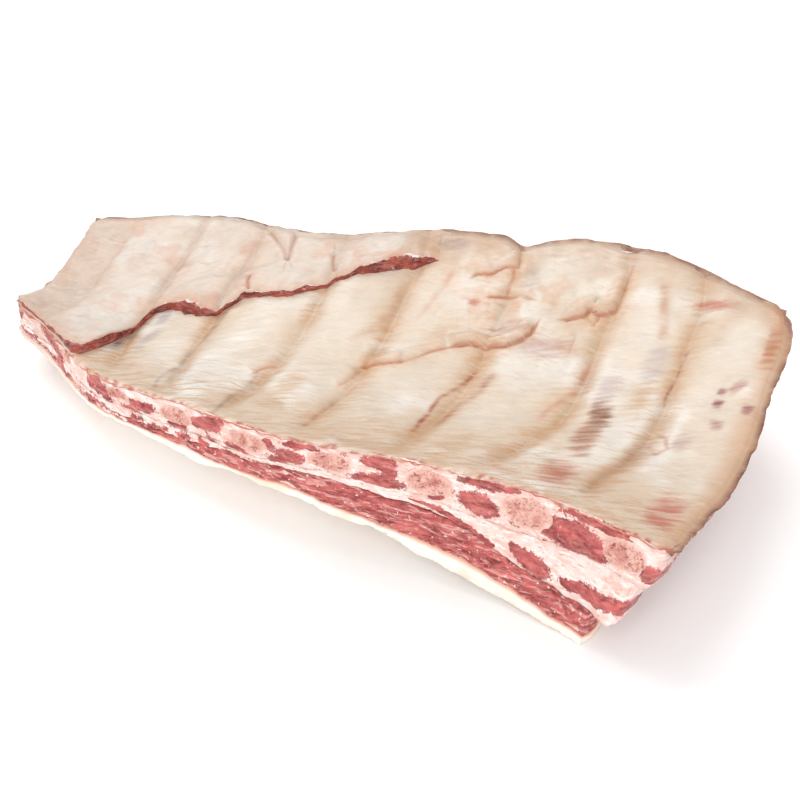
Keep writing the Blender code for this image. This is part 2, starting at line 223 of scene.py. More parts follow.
# Patches of meat that show through: centre, half sizes along x and y, turn in degrees, colour, strength
PATCHES = [
    ((.152, -.004), (.0065, .0150), 5, (.52, .31, .21), .85), ((.152, -.028), (.0080, .0170), 0, (.64, .40, .29), .70),
    ((.151, -.072), (.0110, .0190), 3, (.74, .44, .35), .90), ((.217, -.074), (.0090, .0120), 0, (.76, .44, .37), .90),
    ((.216, -.094), (.0085, .0110), 0, (.77, .46, .38), .85), ((.213, .027), (.0030, .0045), 0, (.56, .28, .30), .80),
    ((.213, .037), (.0022, .0030), 0, (.58, .32, .34), .65), ((.232, .027), (.0032, .0050), 0, (.58, .32, .32), .75),
    ((.219, .010), (.0045, .0040), 0, (.55, .32, .30), .55), ((.221, .044), (.0030, .0080), -30, (.64, .38, .34), .50),
    ((.205, -.010), (.0050, .0080), 0, (.62, .46, .44), .35), ((.096, .042), (.0170, .0080), 10, (.70, .52, .48), .50),
    ((.073, .050), (.0120, .0060), 10, (.72, .55, .50), .45), ((.168, .049), (.0080, .0150), 0, (.74, .66, .66), .45),
    ((.148, .022), (.0070, .0120), 0, (.66, .50, .50), .40), ((-.143, -.006), (.0040, .0090), 0, (.66, .60, .64), .60),
    ((-.141, -.031), (.0040, .0130), -8, (.66, .58, .60), .40), ((-.132, .002), (.0040, .0060), 0, (.64, .58, .62), .50),
    ((.190, .103), (.0130, .0040), 15, (.70, .34, .24), .60), ((.232, .078), (.0040, .0150), 5, (.70, .38, .24), .55),
    ((.045, .060), (.0040, .0030), 0, (.74, .34, .26), .60), ((.016, .098), (.0100, .0050), 10, (.62, .52, .50), .50),
    ((.070, .088), (.0060, .0100), 0, (.66, .58, .52), .40), ((.112, .046), (.0080, .0050), 0, (.78, .60, .48), .45),
]


# Broad creamy and tan areas of the skin, written like the patches
AREAS = [
    ((-0.081, -0.007), (0.013, 0.024), -12, (.965, .935, .895), 0.6), ((-0.122, -0.042), (0.013, 0.024), -12, (.965, .935, .895), 0.6),
    ((-0.094, -0.030), (0.013, 0.024), -12, (.965, .935, .895), 0.5), ((-0.047, -0.006), (0.013, 0.024), -12, (.965, .935, .895), 0.5),
    ((-0.025, 0.015), (0.013, 0.024), -12, (.965, .935, .895), 0.35), ((0.032, 0.064), (0.013, 0.024), -12, (.965, .935, .895), 0.55),
    ((0.079, 0.098), (0.013, 0.024), -12, (.965, .935, .895), 0.5), ((0.096, 0.109), (0.013, 0.024), -12, (.965, .935, .895), 0.4),
    ((0.155, 0.072), (0.013, 0.024), -12, (.965, .935, .895), 0.4), ((0.212, 0.074), (0.013, 0.024), -12, (.965, .935, .895), 0.45),
    ((0.051, 0.093), (0.013, 0.024), -12, (.965, .935, .895), 0.3), ((0.010, 0.052), (0.013, 0.024), -12, (.965, .935, .895), 0.35),
    ((-0.009, -0.041), (0.013, 0.024), -12, (.965, .935, .895), 0.35), ((0.032, -0.028), (0.013, 0.024), -12, (.965, .935, .895), 0.35),
    ((0.086, -0.031), (0.013, 0.024), -12, (.965, .935, .895), 0.3), ((0.138, 0.053), (0.013, 0.024), -12, (.965, .935, .895), 0.35),
    ((0.162, -0.075), (0.013, 0.024), -12, (.965, .935, .895), 0.2), ((0.197, 0.028), (0.013, 0.024), -12, (.965, .935, .895), 0.35),
    ((-0.010, 0.035), (0.009, 0.02), -12, (.82, .655, .50), 0.35), ((0.034, 0.029), (0.009, 0.02), -12, (.82, .655, .50), 0.45),
    ((0.169, 0.019), (0.009, 0.02), -12, (.82, .655, .50), 0.6), ((-0.034, -0.045), (0.009, 0.02), -12, (.82, .655, .50), 0.55),
    ((0.121, 0.001), (0.009, 0.02), -12, (.82, .655, .50), 0.4), ((0.115, -0.042), (0.009, 0.02), -12, (.82, .655, .50), 0.5),
    ((0.178, 0.104), (0.009, 0.02), -12, (.82, .655, .50), 0.35), ((0.184, 0.003), (0.009, 0.02), -12, (.82, .655, .50), 0.3),
    ((-0.059, -0.064), (0.009, 0.02), -12, (.82, .655, .50), 0.35), ((0.084, -0.073), (0.009, 0.02), -12, (.82, .655, .50), 0.2),
    ((0.175, -0.050), (0.009, 0.02), -12, (.82, .655, .50), 0.35), ((0.096, 0.075), (0.009, 0.02), -12, (.82, .655, .50), 0.2),
]


def along(points, xy):
    """Distance to a bent line, side of it (positive to its left) and the share along it."""
    pts = np.array(points, float)
    best = np.full(len(xy), 9.0)
    side = np.zeros(len(xy))
    share = np.zeros(len(xy))
    count = len(pts) - 1
    for k in range(count):
        a, d = pts[k], pts[k + 1] - pts[k]
        rel = xy - a
        t = np.clip((rel @ d) / (d @ d), 0, 1)
        off = rel - t[:, None] * d
        dist = np.hypot(off[:, 0], off[:, 1])
        near = dist < best
        cross = d[0] * rel[:, 1] - d[1] * rel[:, 0]
        best = np.where(near, dist, best)
        side = np.where(near, np.sign(cross), side)
        share = np.where(near, (k + t) / count, share)
    return best, side, share


def skin_relief(fx, v, xy):
    """Height that the skin's own form adds: ribs, valleys, folds, lobes and wrinkles."""
    p = np.column_stack([xy, np.zeros(len(xy))])
    phase = np.abs(valley_phase(fx, v))
    envelope = smooth(0.0, 0.16, v) * (1 - 0.55 * smooth(0.70, 1.0, v))
    small = smooth(-0.26, -0.05, fx)
    high = (0.0022 + 0.0006 * small) * envelope * (0.45 - phase ** 3.0)
    groove = -0.0006 * envelope * np.exp(-((1 - phase) / 0.07) ** 2)
    high = high + groove
    high = high + 0.0012 * fbm(p, 22, 3, 3)
    turned = np.column_stack([xy @ np.array([.89, .46]), xy @ np.array([-.46, .89]), np.zeros(len(xy))])
    high = high + 0.00030 * fbm(turned, (60, 260, 1), 3, 11) * smooth(0.0, 0.05, v)
    lobes = np.exp(-(((xy[:, 0] - .070) / .065) ** 2 + ((xy[:, 1] - .070) / .045) ** 2))
    high = high + 0.0012 * lobes * fbm(p, 85, 4, 12)
    for points, depth, half, swell, _ in CREASES:
        dist, side, share = along(points, xy)
        ends = np.minimum(smooth(0, 0.12, share), 1 - smooth(0.88, 1.0, share))
        high = high - 0.65 * depth * np.exp(-(dist / half) ** 2) * (0.25 + 0.75 * ends)
        bulge = np.exp(-((dist - 0.0045) / 0.0050) ** 2) * (side > 0) + 0.25 * np.exp(-(dist / .006) ** 2)
        high = high + 0.95 * swell * bulge * ends
    return high


def rounded(x, y, left, right, front, back, radius):
    """Rounds the corners of the plan by drawing square corners onto a quarter circle."""
    for ex, sx in ((left, 1), (right, -1)):
        for ey, sy in ((front, 1), (back, -1)):
            a, b = sx * (x - ex), sy * (y - ey)
            qa, qb = np.clip(radius - a, 0, None), np.clip(radius - b, 0, None)
            far = np.maximum(qa, qb)
            length = np.hypot(qa, qb)
            k = np.where(length > 1e-9, far / np.maximum(length, 1e-9), 1.0)
            inside = (qa > 0) & (qb > 0)
            x = np.where(inside, ex + sx * (radius - qa * k), x)
            y = np.where(inside, ey + sy * (radius - qb * k), y)
    return x, y


WOBBLE = 0.0016
CORNER = 0.009


def boundary(layer_depth, fx, v, seed):
    """Depth at the front cut of a border between layers, with its natural waver."""
    depth = layer_depth if np.isscalar(layer_depth) else curve(layer_depth, fx)
    x, y = plan(fx, v)
    p = np.column_stack([x, y, np.full(len(x), depth if np.isscalar(depth) else 0.0)])
    waver = WOBBLE * fbm(p, 45, 3, seed)
    return depth + (0.25 if np.isscalar(layer_depth) else 1.0) * waver


def slab_points(fx, v, depth, end_x=LAST_X):
    """World points at a depth below the rim, for a layer that stops at column end_x."""
    x, y = plan(fx, v)
    share = depth / curve(SLAB_DEPTH, x)
    top, low = base_skin(fx, v), under(fx, v)
    z = top - share * (top - low)
    gone = np.maximum(top - z, 0)
    y = y - curve(FRONT_LEAN, x) * gone * fade(v / LEAN_REACH)
    end = curve(RIGHT_X, v)
    x = x - END_UNDERCUT * gone * fade((end - x) / (END_REACH * (end - FIRST_X)))
    left = curve(LEFT_X, v)
    stop = left + (end_x - FIRST_X) / (LAST_X - FIRST_X) * (end - left)
    px, py = plan(fx, v)
    rx, ry = rounded(px, py, left, stop, curve(FRONT_Y, px), curve(BACK_Y, px), CORNER)
    x, y = x + rx - px, y + ry - py
    return np.column_stack([x - MIDDLE[0], y - MIDDLE[1], z])


# ---------------------------------------------------------------- mesh making
def linear(colour):
    """Screen colour to scene colour."""
    c = np.clip(np.asarray(colour, float), 0, 1)
    return np.where(c <= 0.04045, c / 12.92, ((c + 0.055) / 1.055) ** 2.4)


def make_object(name, verts, faces, colours, extra, material, smooth_shade=True):
    mesh = bpy.data.meshes.new(name)
    mesh.from_pydata(verts.tolist(), [], faces)
    mesh.update()
    attr = mesh.color_attributes.new("Tint", "FLOAT_COLOR", "POINT")
    rgba = np.ones((len(verts), 4), np.float32)
    rgba[:, :3] = linear(colours)
    attr.data.foreach_set("color", rgba.ravel())
    for key, values in extra.items():
        layer = mesh.attributes.new(key, "FLOAT", "POINT")
        layer.data.foreach_set("value", np.asarray(values, np.float32))
    if smooth_shade:
        mesh.polygons.foreach_set("use_smooth", np.ones(len(mesh.polygons), bool))
    obj = bpy.data.objects.new(name, mesh)
    obj.data.materials.append(material)
    bpy.context.scene.collection.objects.link(obj)
    return obj


class Shell:
    """Closed solid of the slab: a dense wall round it, and a cap above and below.

    Each vertex keeps its column fx, its v and its share t of the way down the layer.
    """

    def __init__(self, end_x, nu, nv, nt, top_rows, low_rows):
        self.fx, self.v, self.t, self.faces = [], [], [], []
        columns = np.linspace(FIRST_X, end_x, nu + 1)
        dense = np.linspace(0, 1, nv + 1)
        dense = 0.5 - 0.5 * np.cos(math.pi * dense) * (0.25 + 0.75 * np.abs(np.cos(math.pi * dense)) ** 0.3) \
            if False else dense
        loop = [(c, 0.0) for c in columns[:-1]] + [(columns[-1], r) for r in dense[:-1]]
        loop += [(c, 1.0) for c in columns[:0:-1]] + [(columns[0], r) for r in dense[:0:-1]]
        count = len(loop)
        rings = []
        for j in range(nt + 1):
            rings.append(self.add(np.array(loop), j / nt))
        for a, b in zip(rings, rings[1:]):
            for k in range(count):
                n = (k + 1) % count
                self.faces.append((a[k], b[k], b[n], a[n]))
        self.cap(rings[0], columns, dense, nu, nv, top_rows, 0.0, True)
        self.cap(rings[-1], columns, dense, nu, nv, low_rows, 1.0, False)
        self.fx, self.v, self.t = (np.concatenate(a) for a in (self.fx, self.v, self.t))

    def add(self, places, t):
        start = sum(len(a) for a in self.fx)
        self.fx.append(places[:, 0])
        self.v.append(places[:, 1])
        self.t.append(np.full(len(places), float(t)))
        return list(range(start, start + len(places)))

    def cap(self, ring, columns, dense, nu, nv, rows, t, upward):
        """Fills a ring with a grid of columns and every so many rows."""
        step = nv // rows
        inner = [(columns[i], dense[j * step]) for i in range(1, nu) for j in range(1, rows)]
        ids = self.add(np.array(inner), t)
        front = ring[:nu + 1]
        right = ring[nu:nu + nv + 1]
        back = ring[nu + nv:2 * nu + nv + 1][::-1]
        left = (ring[2 * nu + nv:] + [ring[0]])[::-1]

        def at(i, j):
            if j == 0:
                return front[i]
            if j == rows:
                return back[i]
            if i == 0:
                return left[j * step]
            if i == nu:
                return right[j * step]
            return ids[(i - 1) * (rows - 1) + j - 1]

        for i in range(nu):
            for j in range(rows):
                face = [at(i, j), at(i + 1, j)]
                if i == nu - 1:
                    face += right[j * step + 1:(j + 1) * step]
                face += [at(i + 1, j + 1), at(i, j + 1)]
                if i == 0:
                    face += left[j * step + 1:(j + 1) * step][::-1]
                self.faces.append(tuple(face if upward else face[::-1]))


def bump_out(points, fx, v, amount):
    """Moves wall points straight out of the front, back, left or right face."""
    out = np.zeros_like(points)
    out[:, 1] = np.where(v <= 0, -1.0, np.where(v >= 1, 1.0, 0.0))
    out[:, 0] = np.where(fx <= FIRST_X + 1e-9, -1.0, np.where(fx >= LAST_X - 1e-9, 1.0, 0.0))
    return points + out * amount[:, None]


def wall_mask(shell, end_x):
    return (shell.v <= 0) | (shell.v >= 1) | (shell.fx <= FIRST_X + 1e-9) | (shell.fx >= end_x - 1e-9)


# ---------------------------------------------------------------- materials
def rough_material(name, detail, bump, roughness, sss=0.12, fibre=None, speckle=None):
    """Moist surface: the painted tint, broken by fine noise, with bump and gloss."""
    mat = bpy.data.materials.new(name)
    mat.use_nodes = True
    nt = mat.node_tree
    nodes, links = nt.nodes, nt.links
    shader = nodes["Principled BSDF"]
    tint = nodes.new("ShaderNodeAttribute")
    tint.attribute_name = "Tint"
    place = nodes.new("ShaderNodeTexCoord")
    colour = tint.outputs["Color"]

    def tex_noise(scale, octaves, rough=0.6, stretch=None, turn=0.0, distort=0.0):
        node = nodes.new("ShaderNodeTexNoise")
        node.inputs["Scale"].default_value = scale
        node.inputs["Detail"].default_value = octaves
        node.inputs["Roughness"].default_value = rough
        node.inputs["Distortion"].default_value = distort
        source = place.outputs["Object"]
        if stretch:
            mapping = nodes.new("ShaderNodeMapping")
            mapping.inputs["Rotation"].default_value = (0, 0, turn)
            mapping.inputs["Scale"].default_value = stretch
            links.new(source, mapping.inputs["Vector"])
            source = mapping.outputs["Vector"]
        links.new(source, node.inputs["Vector"])
        return node.outputs["Fac"]

    def ramp(value, low, high, first=0.0, last=1.0):
        node = nodes.new("ShaderNodeMapRange")
        node.inputs["From Min"].default_value = low
        node.inputs["From Max"].default_value = high
        node.inputs["To Min"].default_value = first
        node.inputs["To Max"].default_value = last
        links.new(value, node.inputs["Value"])
        return node.outputs["Result"]

    def blend(kind, factor, first, second):
        node = nodes.new("ShaderNodeMix")
        node.data_type = "RGBA"
        node.blend_type = kind
        if isinstance(factor, float):
            node.inputs["Factor"].default_value = factor
        else:
            links.new(factor, node.inputs["Factor"])
        for value, slot in ((first, 6), (second, 7)):
            if isinstance(value, tuple):
                node.inputs[slot].default_value = (*linear(value), 1)
            else:
                links.new(value, node.inputs[slot])
        return node.outputs[2]

    def maths(kind, first, second):
        node = nodes.new("ShaderNodeMath")
        node.operation = kind
        for value, slot in ((first, 0), (second, 1)):
            if isinstance(value, (int, float)):
                node.inputs[slot].default_value = value
            else:
                links.new(value, node.inputs[slot])
        return node.outputs[0]

    def attribute(key):
        node = nodes.new("ShaderNodeAttribute")
        node.attribute_name = key
        return node.outputs["Fac"]

    colour, height = detail(dict(noise=tex_noise, ramp=ramp, blend=blend, maths=maths, attribute=attribute), colour)
    links.new(colour, shader.inputs["Base Color"])
    wet = tex_noise(38, 3)
    links.new(ramp(wet, 0.35, 0.70, roughness[0], roughness[1]), shader.inputs["Roughness"])
    node = nodes.new("ShaderNodeBump")
    node.inputs["Strength"].default_value = bump
    node.inputs["Distance"].default_value = 0.001
    links.new(height, node.inputs["Height"])
    links.new(node.outputs["Normal"], shader.inputs["Normal"])
    shader.inputs["Specular IOR Level"].default_value = 0.45
    shader.inputs["Subsurface Weight"].default_value = sss
    shader.inputs["Subsurface Radius"].default_value = (1.0, 0.45, 0.30)
    shader.inputs["Subsurface Scale"].default_value = 0.004
    return mat


def membrane_detail(n, colour):
    """Fine fibres across the ribs, pale and orange, on a mottled skin."""
    fibres = n["noise"](1.0, 5, 0.65, (70, 520, 60), -0.46, 0.4)
    fine = n["noise"](1.0, 4, 0.6, (160, 1300, 150), -0.40, 0.3)
    mottle = n["noise"](55, 4)
    weight = n["attribute"]("fibre")
    orange = n["ramp"](fibres, 0.56, 0.70)
    colour = n["blend"]("MIX", n["maths"]("MULTIPLY", orange, n["maths"]("MULTIPLY", weight, 0.95)), colour, (.70, .49, .35))
    pale = n["ramp"](fibres, 0.44, 0.30)
    colour = n["blend"]("MIX", n["maths"]("MULTIPLY", pale, 0.25), colour, (.90, .86, .805))
    colour = n["blend"]("MULTIPLY", 0.5, colour, n["ramp"](fine, 0.25, 0.65, 0.93, 1.04))
    colour = n["blend"]("MULTIPLY", 0.6, colour, n["ramp"](mottle, 0.30, 0.70, 0.90, 1.06))
    height = n["maths"]("ADD", fibres, n["maths"]("MULTIPLY", fine, 0.5))
    return colour, height


def cut_detail(n, colour, dark=(.54, .16, .16), light=(.82, .40, .385)):
    """Cut face: meat where the field is high, fat where it is low, with a ragged border."""
    field = n["attribute"]("meat")
    ragged = n["noise"](420, 6, 0.68, None, 0, 0.8)
    strand = n["noise"](1.0, 4, 0.6, (260, 260, 900), 0.0, 0.6)
    grain = n["noise"](1.0, 4, 0.6, (75, 150, 430), 0.0, 0.7)
    total = n["maths"]("ADD", field, n["maths"]("MULTIPLY", n["maths"]("SUBTRACT", ragged, 0.5), 1.5))
    mask = n["ramp"](total, 0.44, 0.56)
    deep = n["blend"]("MIX", n["ramp"](n["noise"](1.0, 5, 0.55, (95, 120, 230), 0, 0.6), 0.38, 0.64), dark, light)
    deep = n["blend"]("MULTIPLY", 0.85, deep, n["ramp"](n["noise"](170, 5, 0.6, None, 0, 0.5), 0.38, 0.60, 0.72, 1.06))
    deep = n["blend"]("MIX", n["ramp"](strand, 0.52, 0.68, 0.0, 0.45), deep, (.84, .53, .49))
    marbled = n["maths"]("MULTIPLY", n["ramp"](grain, 0.51, 0.61), n["attribute"]("marble"))
    deep = n["blend"]("MIX", n["maths"]("MULTIPLY", marbled, 0.75), deep, (.93, .70, .66))
    fleck = n["ramp"](n["noise"](310, 3, 0.55), 0.63, 0.69)
    deep = n["blend"]("MIX", n["maths"]("MULTIPLY", fleck, n["attribute"]("marble")), deep, (.96, .86, .83))
    pale = n["blend"]("MIX", n["ramp"](n["noise"](150, 4), 0.45, 0.70, 0.0, 0.55), colour, (.91, .68, .63))
    pale = n["blend"]("MIX", n["ramp"](n["noise"](1.0, 4, 0.6, (110, 110, 520), 0.0, 0.6), 0.52, 0.64, 0.0, 0.8), pale, (.99, .96, .94))
    pale = n["blend"]("MIX", n["ramp"](n["noise"](560, 3, 0.6), 0.63, 0.70, 0.0, 0.7), pale, (.80, .42, .38))
    line = n["ramp"](n["noise"](1.0, 3, 0.5, (120, 120, 700), 0.0, 0.8), 0.62, 0.68)
    pale = n["blend"]("MIX", n["maths"]("MULTIPLY", line, n["attribute"]("lines")), pale, (.85, .50, .40))
    colour = n["blend"]("MIX", mask, pale, deep)
    height = n["maths"]("SUBTRACT", n["maths"]("ADD", ragged, strand), n["maths"]("MULTIPLY", mask, 0.5))
    return colour, height


def bone_detail(n, colour):
    """Sawn bone: pale rim, spongy middle with dark red specks."""
    middle = n["attribute"]("middle")
    sponge = n["noise"](620, 5, 0.75)
    blood = n["noise"](330, 5, 0.65, None, 0, 0.6)
    speck = n["maths"]("MULTIPLY", n["ramp"](sponge, 0.50, 0.62), middle)
    colour = n["blend"]("MIX", n["maths"]("MULTIPLY", speck, 0.80), colour, (.66, .37, .33))
    dark = n["maths"]("MULTIPLY", n["ramp"](blood, 0.52, 0.64), n["attribute"]("blood"))
    colour = n["blend"]("MIX", dark, colour, (.58, .22, .20))
    return colour, sponge


def fat_detail(n, colour):
    """Smooth cream fat with faint pink clouds."""
    cloud = n["noise"](48, 4)
    colour = n["blend"]("MIX", n["ramp"](cloud, 0.50, 0.72, 0.0, 0.35), colour, (.96, .84, .78))
    fine = n["noise"](500, 3)
    return colour, fine


MEMBRANE = rough_material("membrane", membrane_detail, 0.35, (0.30, 0.50), 0.10)
FLAP = rough_material("flap", membrane_detail, 0.30, (0.34, 0.55), 0.12)
CUT = rough_material("cut_face", cut_detail, 0.65, (0.20, 0.44), 0.10)
DRY_CUT = rough_material("dry_cut_face", lambda n, c: cut_detail(n, c, (.40, .12, .09), (.66, .28, .21)), 0.7, (0.28, 0.50), 0.08)
BONE = rough_material("bone", bone_detail, 0.45, (0.40, 0.60), 0.06)
FAT = rough_material("fat", fat_detail, 0.25, (0.32, 0.52), 0.15)


# ---------------------------------------------------------------- painting
def mix(base, colour, weight):
    return base + (np.asarray(colour) - base) * np.asarray(weight)[:, None]


def paint_skin(fx, v, xy, extra_pink=0.0):
    """Colour of the membrane and how strongly its orange fibres show."""
    p = np.column_stack([xy, np.zeros(len(xy))])
    n1, n2 = fbm(p, 18, 3, 21), fbm(p, 45, 3, 22)
    colour = np.tile(np.array([.880, .795, .705]), (len(xy), 1))
    colour = mix(colour, (.955, .925, .885), smooth(-0.08, 0.42, n1))
    phase = np.abs(valley_phase(fx, v))
    crest = (1 - smooth(0.35, 0.85, phase)) * smooth(0.10, 0.35, v)
    colour = mix(colour, (.915, .870, .815), 0.60 * crest * (0.6 + 0.8 * np.clip(n1 + .3, 0, .6)))
    valley = smooth(0.62, 0.96, phase) * smooth(0.02, 0.15, v) * (1 - 0.6 * smooth(.65, .95, v))
    colour = mix(colour, (.79, .62, .465), 0.75 * valley * (0.7 + 0.6 * np.clip(n2, -.5, .5)))
    colour = mix(colour, (.70, .64, .60), 0.20 * valley * smooth(0.0, 0.4, n1))
    lobes = np.exp(-(((xy[:, 0] - .100) / .026) ** 2 + ((xy[:, 1] - .095) / .022) ** 2))
    lobes += np.exp(-(((xy[:, 0] - .062) / .022) ** 2 + ((xy[:, 1] - .046) / .012) ** 2))
    colour = mix(colour, (.94, .895, .84), 0.7 * np.clip(lobes, 0, 1))
    around = np.exp(-(((xy[:, 0] - .060) / .060) ** 2 + ((xy[:, 1] - .075) / .035) ** 2))
    colour = mix(colour, (.88, .68, .55), 0.55 * around * smooth(.0, .35, fbm(p, 70, 3, 25)))
    front = 1 - smooth(0.04, 0.34, v + 0.06 * n2)
    colour = mix(colour, (.83, .68, .55), 0.50 * front * smooth(-.20, .02, fx) * smooth(-.35, .35, n2 + .5 * n1))
    back = smooth(0.86, 1.0, v + 0.05 * n2)
    colour = mix(colour, (.76, .60, .48), 0.55 * back)
    right = smooth(0.195, 0.214, fx + 0.004 * n2)
    colour = mix(colour, (.79, .58, .43), 0.60 * right)
    fibre = np.clip(0.25 + 0.5 * n1 + 0.5 * front + 0.25 * valley, 0, 1)
    rim = 1 - smooth(0.003, 0.022, v + 0.014 * n2)
    grain = fbm(p, 190, 3, 24)
    colour = mix(colour, (.86, .64, .55), 0.65 * rim)
    colour = mix(colour, (.68, .31, .24), 0.8 * (1 - smooth(.004, .014, v + .010 * n2)) * smooth(.10, .30, grain))
    colour = mix(colour, (.95, .90, .86), 0.7 * (1 - smooth(.004, .018, v)) * smooth(.12, .35, -grain))
    fibre_way = np.column_stack([xy @ np.array([.90, .43]), xy @ np.array([-.43, .90]), np.zeros(len(xy))])
    streak = fbm(fibre_way, (45, 400, 1), 3, 33)
    colour = mix(colour, (.80, .61, .45), 0.60 * smooth(.08, .38, streak) * np.clip(.12 + 0.9 * valley + 0.8 * front, 0, 1))
    for points, half, tone, strength in STRIPS:
        dist, _, share = along(points, xy + 0.0012 * n2[:, None])
        ends = np.minimum(smooth(0, .18, share), 1 - smooth(.80, 1, share))
        w = np.exp(-(dist / half) ** 2) * strength * ends * (0.80 + 0.6 * n2)
        colour = mix(colour, tone, np.clip(w * (0.85 + 0.6 * streak), 0, 1))
    for (cx, cy), (rx, ry), turn, tone, strength in AREAS + PATCHES:
        c, s = math.cos(math.radians(turn)), math.sin(math.radians(turn))
        d = xy - (cx, cy) + 0.0022 * np.column_stack([n2, n1])
        a, b = (d[:, 0] * c + d[:, 1] * s) / rx, (-d[:, 0] * s + d[:, 1] * c) / ry
        far = np.maximum(np.abs(a), np.abs(b)) * 0.5 + np.hypot(a, b) * 0.5
        w = strength * (1 - smooth(0.30 if rx < 0.008 or ry < 0.019 else 0.0, 1.35, far - 0.25 * streak))
        colour = mix(colour, tone, np.clip(w * (0.85 + 0.45 * streak), 0, 1))
    for points, _, half, _, red in CREASES:
        dist, _, share = along(points, xy)
        ends = np.minimum(smooth(0, .10, share), 1 - smooth(.88, 1, share))
        w = np.exp(-(dist / (0.45 * half)) ** 2) * np.minimum(red, 1.0) * (.3 + .7 * ends) * (.8 + .5 * n2)
        colour = mix(colour, (.68, .36, .23), np.clip(1.0 * w, 0, 1))
        halo = np.exp(-(dist / 0.0060) ** 2) * 0.34 * red * ends
        colour = mix(colour, (.87, .66, .51), np.clip(halo, 0, 1))
    return 0.905 * colour, fibre


# Meat in the cut face: x, depth, half width, half depth, tilt (depth per metre of x)
MEAT_BLOBS = [
    (.176, .0200, .0205, .0105, .05), (.164, .0215, .0120, .0080, .05), (.190, .0215, .0110, .0085, .06),
    (.186, .0055, .0200, .0030, .00), (.203, .0050, .0080, .0040, .05), (.117, .0055, .0160, .0030, .0),
    (.116, .0200, .0130, .0080, .1), (.224, .0215, .0080, .0060, .1), (.133, .0045, .0060, .0022, .0),
    (.053, .0075, .0110, .0050, .1), (.053, .0205, .0170, .0060, .0), (.060, .0140, .0060, .0050, .0),
    (-.002, .0140, .0095, .0055, .0), (.004, .0050, .0130, .0026, .0), (-.011, .0195, .0080, .0040, .0),
    (-.063, .0105, .0120, .0060, .0), (-.056, .0050, .0080, .0022, .0), (-.017, .0100, .0060, .0040, .1),
    (-.112, .0120, .0110, .0040, .05), (-.120, .0180, .0090, .0030, .1), (-.149, .0090, .0085, .0060, .1),
    (-.141, .0140, .0040, .0060, .2), (-.204, .0060, .0080, .0050, .1), (-.192, .0100, .0070, .0045, .1),
    (-.236, .0060, .0050, .0050, .0), (-.085, .0190, .0080, .0030, .0), (.088, .0215, .0060, .0040, .0),
    (.140, .0235, .0080, .0050, .1), (-.040, .0190, .0090, .0030, .0),
]
SEAM_BLOBS = [
    (.152, .0500, .0120, .0080, .25), (.142, .0440, .0060, .0040, .4), (.194, .0515, .0180, .0060, -.08),
    (.177, .0530, .0080, .0040, .0), (.210, .0500, .0080, .0060, .0),
]
RED_BAND = [(.074, .0285), (.094, .0315), (.108, .0385), (.124, .0470)]


def blob_field(blobs, x, depth, p):
    """1 inside the blobs, 0 outside, soft at the border."""
    best = np.zeros(len(x))
    wx, wd = 0.0022 * fbm(p, 90, 3, 41), 0.0018 * fbm(p, 90, 3, 42)
    for cx, cd, rx, rd, tilt in blobs:
        dx, dd = x + wx - cx, depth + wd - cd - tilt * (x - cx)
        best = np.maximum(best, 1.5 - np.hypot(dx / rx, dd / rd))
    return np.clip(best, -0.2, 1.0)


def depth_of(points, fx, v):
    """Depth below the rim of wall points."""
    return base_skin(fx, v) - points[:, 2]


def finish_piece(obj, nodes):
    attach(obj, "root")
    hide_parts(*nodes)


def wall_noise(p, seed=50):
    return 0.0008 * fbm(p, 70, 4, seed) + 0.0004 * fbm(p, 260, 2, seed + 5)


# ---------------------------------------------------------------- the layers
def build_lining():
    shell = Shell(LAST_X, 410, 200, 6, 200, 10)
    fx, v, t = shell.fx, shell.v, shell.t
    p0 = slab_points(fx, v, np.zeros(len(fx)))
    relief = skin_relief(fx, v, p0[:, :2])
    low = boundary(LINING_SHOWN, fx, v, 61)
    walls = wall_mask(shell, LAST_X)
    pts = slab_points(fx, v, low * t)
    pts[:, 2] += relief * (1 - 0.8 * t)
    pts[:, 2] -= np.where((t >= 1) & ~walls, 0.0030, 0.0)
    far_side = (v >= 1) | (fx >= LAST_X - 1e-9)
    edge = np.where(far_side, 0.0014 * fbm(p0, 55, 4, 63) + 0.0032, 0.0020 * fbm(p0, 110, 4, 63) + 0.0006)
    edge = edge + 0.0007 * np.sin(math.pi * t)
    pts = np.where(walls[:, None], bump_out(pts, fx, v, edge), pts)
    rim = np.minimum(np.minimum(v, 1 - v) * 0.21, np.minimum(fx - FIRST_X, LAST_X - fx))
    pts[:, 2] -= np.where(far_side, 0.0012, 0.0022) * np.exp(-(rim / 0.0022) ** 2) * (1 - t)
    colour, fibre = paint_skin(fx, v, p0[:, :2])
    raw = walls & (t > 0.25)
    # painted shade: the back and right walls of the lining darkened brown
    colour = mix(colour, (.48, .31, .235), (walls & far_side) * (0.75 + 0.5 * fbm(p0, 120, 3, 66)))
    colour = mix(colour, (.76, .40, .33), (raw & ~far_side) * 0.75 * (0.6 + 0.6 * smooth(-.2, .4, fbm(p0, 150, 2, 64))))
    obj = make_object("inner_lining_skin", pts, shell.faces, colour, {"fibre": fibre}, MEMBRANE)
    finish_piece(obj, ["inner_lining"])


